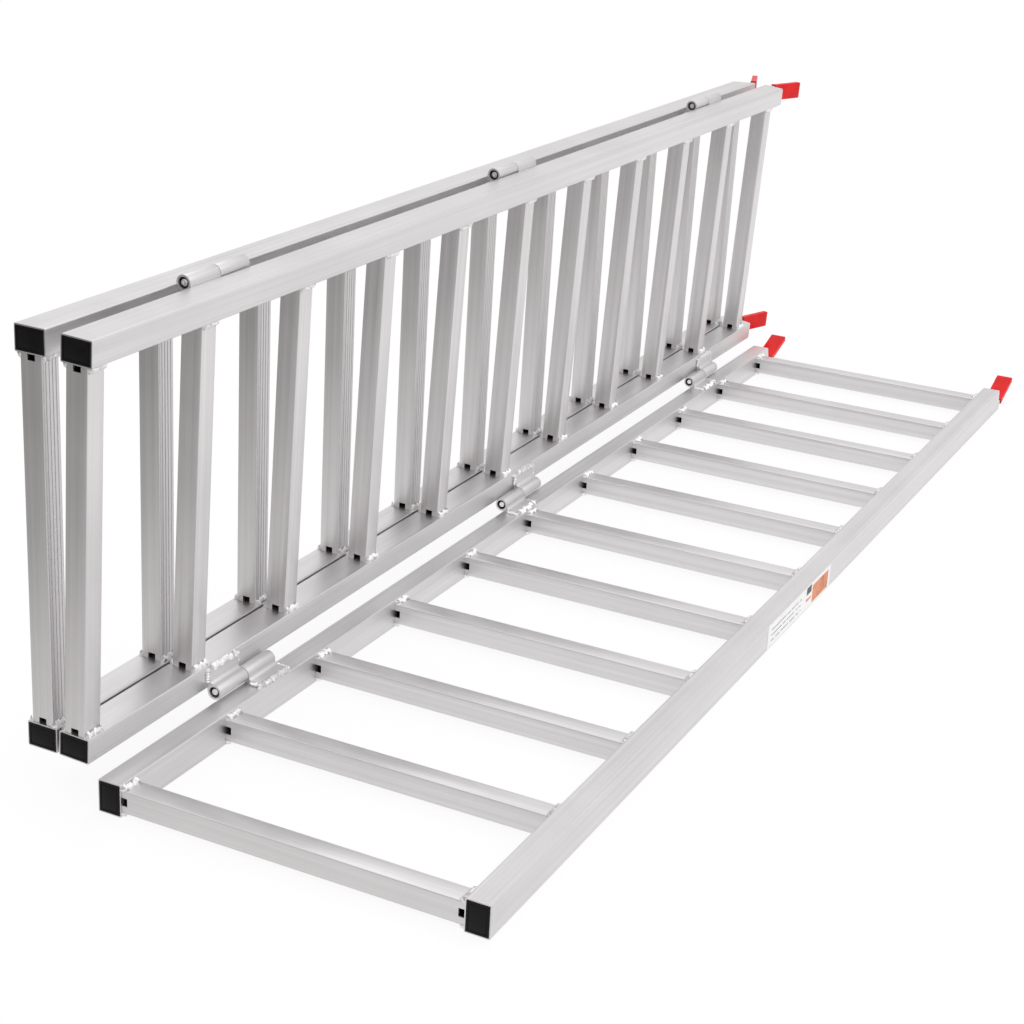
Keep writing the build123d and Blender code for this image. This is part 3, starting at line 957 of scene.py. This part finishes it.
LABEL_CORNER = 0.0020
ORANGE_START = 0.70
ORANGE_END = 0.965
ORANGE_LOW = 0.06
ORANGE_TOP = 0.84
MARK_START = 0.60
MARK_END = 0.68
MARK_LOW = 0.62
MARK_TOP = 0.95
BAR_LOW = 0.34
BAR_TOP = 0.44
RULES_START = 0.05
RULES_END = 0.52
RULES_LOW = 0.12
RULES_TOP = 0.88
RULE_PITCH = 0.0075
RULE_WIDE = 0.0017
WORD_SCALE = 120
WORD_GAP_SHARE = 0.45
AGE_SCALE = 60
BLOTCH_FINE_SCALE = 240
BLOTCH_BROAD_SCALE = 30
FILM_DULL = (0.90, 0.91, 0.91, 1)
FILM_WHITE = (0.98, 0.98, 0.98, 1)
ORANGE_DARK = (0.50, 0.13, 0.035, 1)
ORANGE_LIGHT = (0.80, 0.27, 0.09, 1)
RULE_GREY = (0.14, 0.14, 0.15, 1)
MARK_BLACK = (0.03, 0.035, 0.04, 1)

label_low, label_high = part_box("flat_label")
label = start_block("flat_label_film", label_low, label_high)
pick(label, "EDGE", lambda edge: abs((edge.verts[0].co - edge.verts[1].co).x) > TOUCHING)
bpy.ops.mesh.bevel(offset=LABEL_CORNER, segments=4)
smooth(label, degrees=30)
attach(label, "flat_panel")
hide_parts("flat_label")

film = Finish("label_film", "flat", Specular_IOR_Level=0.4)
long_way = (film.along(1) - label_low.y) * (1 / (label_high.y - label_low.y))
up_way = (film.along(2) - label_low.z) * (1 / (label_high.z - label_low.z))


def in_block(start, end, low, top):
    """1 inside a block of the label, given as shares of its length and height."""
    return (long_way > start) * (long_way < end) * (up_way > low) * (up_way < top)


on_orange = in_block(ORANGE_START, ORANGE_END, ORANGE_LOW, ORANGE_TOP)
on_mark = in_block(MARK_START, MARK_END, MARK_LOW, MARK_TOP)
on_bar = in_block(MARK_START, MARK_END, BAR_LOW, BAR_TOP)
rule_place = film.node("ShaderNodeMath", {"operation": "PINGPONG"},
                       {0: film.along(2) - label_low.z, 1: RULE_PITCH / 2})
between_gaps = film.noise(WORD_SCALE, 2) > WORD_GAP_SHARE
on_rules = (in_block(RULES_START, RULES_END, RULES_LOW, RULES_TOP)
            * (rule_place < RULE_WIDE / 2) * between_gaps)
age = film.noise(AGE_SCALE, 4)
white = film.ramp(age, (0.3, FILM_DULL), (0.7, FILM_WHITE))
blotches = film.noise(BLOTCH_FINE_SCALE, 3) * 0.5 + film.noise(BLOTCH_BROAD_SCALE, 2) * 0.5
orange = film.ramp(blotches, (0.40, ORANGE_DARK), (0.58, ORANGE_LIGHT))
print_colour = film.mix(on_rules * 0.8, white, RULE_GREY)
print_colour = film.mix(on_mark, print_colour, MARK_BLACK)
print_colour = film.mix(on_orange, print_colour, orange)
print_colour = film.mix(on_bar, print_colour, orange)
film.set(Base_Color=print_colour, Roughness=0.30 + age * 0.15)
film.bump(age, 0.0001, 0.3)
label.data.materials.append(film.material)


# Studio
# White floor and room, with soft light from above. The room and the floor's glow are darker in
# front and to the left, which gives the metal its darker near faces. Seen directly, both are white.

FLOOR_SIZE = 60
FLOOR_DROP = 0.0005
FLOOR_SHADOW_SHARE = 0.15
ROOM_LIGHT = 0.84
ROOM_TOP = 1.16
ROOM_FRONT = 0.34
BACKDROP = 1.04
PLAIN_LIGHT = (1.0, 0.985, 0.99, 1)
WARM_LIGHT = (1.0, 0.945, 0.93, 1)
WHITE = (1, 1, 1, 1)
FLOOR_PAINT = (0.85, 0.85, 0.85, 1)
DARK_SIDE = Vector((-0.62, -0.78, 0.0))
SOFTBOX_AIM = Vector((0, 0, 0.2))
SOFTBOXES = (
    ("key_softbox", (2.6, 0.6, 2.6), 1.2, 7.0),
    ("back_softbox", (-1.4, 1.0, 3.2), 1.2, 6.0),
)
CAMERA_AZIMUTH = math.radians(25.80)
CAMERA_ELEVATION = math.radians(21.25)
CAMERA_ROLL = math.radians(3.14)
CAMERA_DISTANCE = 2.822
CAMERA_LENS = 69.95
AIM = Vector((-0.1915, -0.0464, 0.0169))


class Room(Finish):
    """The world's shader, its patterns placed by direction."""

    def __init__(self, name):
        self.world = bpy.data.worlds.new(name)
        self.world.use_nodes = True
        self.tree = self.world.node_tree
        self.shader = self.tree.nodes["Background"]
        self.place = self.node("ShaderNodeTexCoord", output="Generated")


def dot_with(finish, direction):
    """How far a place lies along a direction."""
    return finish.node("ShaderNodeVectorMath", {"operation": "DOT_PRODUCT"},
                       {0: finish.place, 1: direction}, output="Value")


room = Room("studio_room")
bpy.context.scene.world = room.world
to_dark = dot_with(room, DARK_SIDE)
to_top = room.along(2)
dark_ahead = room.ramp(to_dark, (0.05, 0.0), (0.85, 1.0))
dark_share = dark_ahead * room.ramp(to_top, (0.35, 1.0), (0.75, 0.0))
top_share = room.ramp(to_top, (0.35, 0.0), (0.95, 1.0))
walls = ROOM_LIGHT + top_share * (ROOM_TOP - ROOM_LIGHT)
light = walls * (dark_share * (ROOM_FRONT - 1) + 1)
in_view = room.node("ShaderNodeLightPath", output="Is Camera Ray")
shown = room.mix(in_view, room.mix(dark_share, PLAIN_LIGHT, WARM_LIGHT), WHITE)
room.set(Color=shown, Strength=light * (1 - in_view) + in_view * BACKDROP)

bpy.ops.object.select_all(action="DESELECT")
bpy.ops.mesh.primitive_plane_add(size=FLOOR_SIZE, location=(0, 0, cad_low.z - FLOOR_DROP))
floor = bpy.context.object
floor.name = "floor"
paint = Finish("floor_white", "flat", Base_Color=FLOOR_PAINT, Roughness=0.9,
               Specular_IOR_Level=0.1)
floor_light = paint.ramp(dot_with(paint, DARK_SIDE) * 0.25 + 0.5,
                         (0.45, 1.0), (0.62, 0.95), (0.73, 0.80), (0.84, 0.58), (0.90, 0.36),
                         (1.0, 0.20))
seen = paint.node("ShaderNodeLightPath", output="Is Camera Ray")
tint = paint.mix(floor_light, WARM_LIGHT, PLAIN_LIGHT)
glow = paint.node("ShaderNodeEmission", None,
                  {"Color": paint.mix(seen, tint, WHITE),
                   "Strength": floor_light * (1 - seen) + seen * BACKDROP})
shader = Wire(paint, paint.shader.outputs[0])
mixed = paint.node("ShaderNodeMixShader", None, {0: 1 - FLOOR_SHADOW_SHARE, 1: shader, 2: glow})
paint.feed(paint.tree.nodes["Material Output"].inputs["Surface"], mixed)
floor.data.materials.append(paint.material)

for name, place, size, power in SOFTBOXES:
    lamp = bpy.data.lights.new(name, "AREA")
    lamp.shape = "SQUARE"
    lamp.size = size
    lamp.energy = power
    box = bpy.data.objects.new(name, lamp)
    bpy.context.collection.objects.link(box)
    box.location = place
    box.rotation_euler = (Vector(place) - SOFTBOX_AIM).to_track_quat("Z", "Y").to_euler()

bpy.context.scene.view_settings.view_transform = "Standard"

back = Vector((math.sin(CAMERA_AZIMUTH) * math.cos(CAMERA_ELEVATION),
               -math.cos(CAMERA_AZIMUTH) * math.cos(CAMERA_ELEVATION),
               math.sin(CAMERA_ELEVATION)))
level = back.to_track_quat("Z", "Y").to_matrix().to_4x4()
camera = bpy.data.objects.new("camera", bpy.data.cameras.new("camera"))
bpy.context.collection.objects.link(camera)
camera.matrix_world = (Matrix.Translation(AIM + back * CAMERA_DISTANCE) @ level
                       @ Matrix.Rotation(CAMERA_ROLL, 4, "Z"))
camera.data.lens = CAMERA_LENS
bpy.context.scene.camera = camera
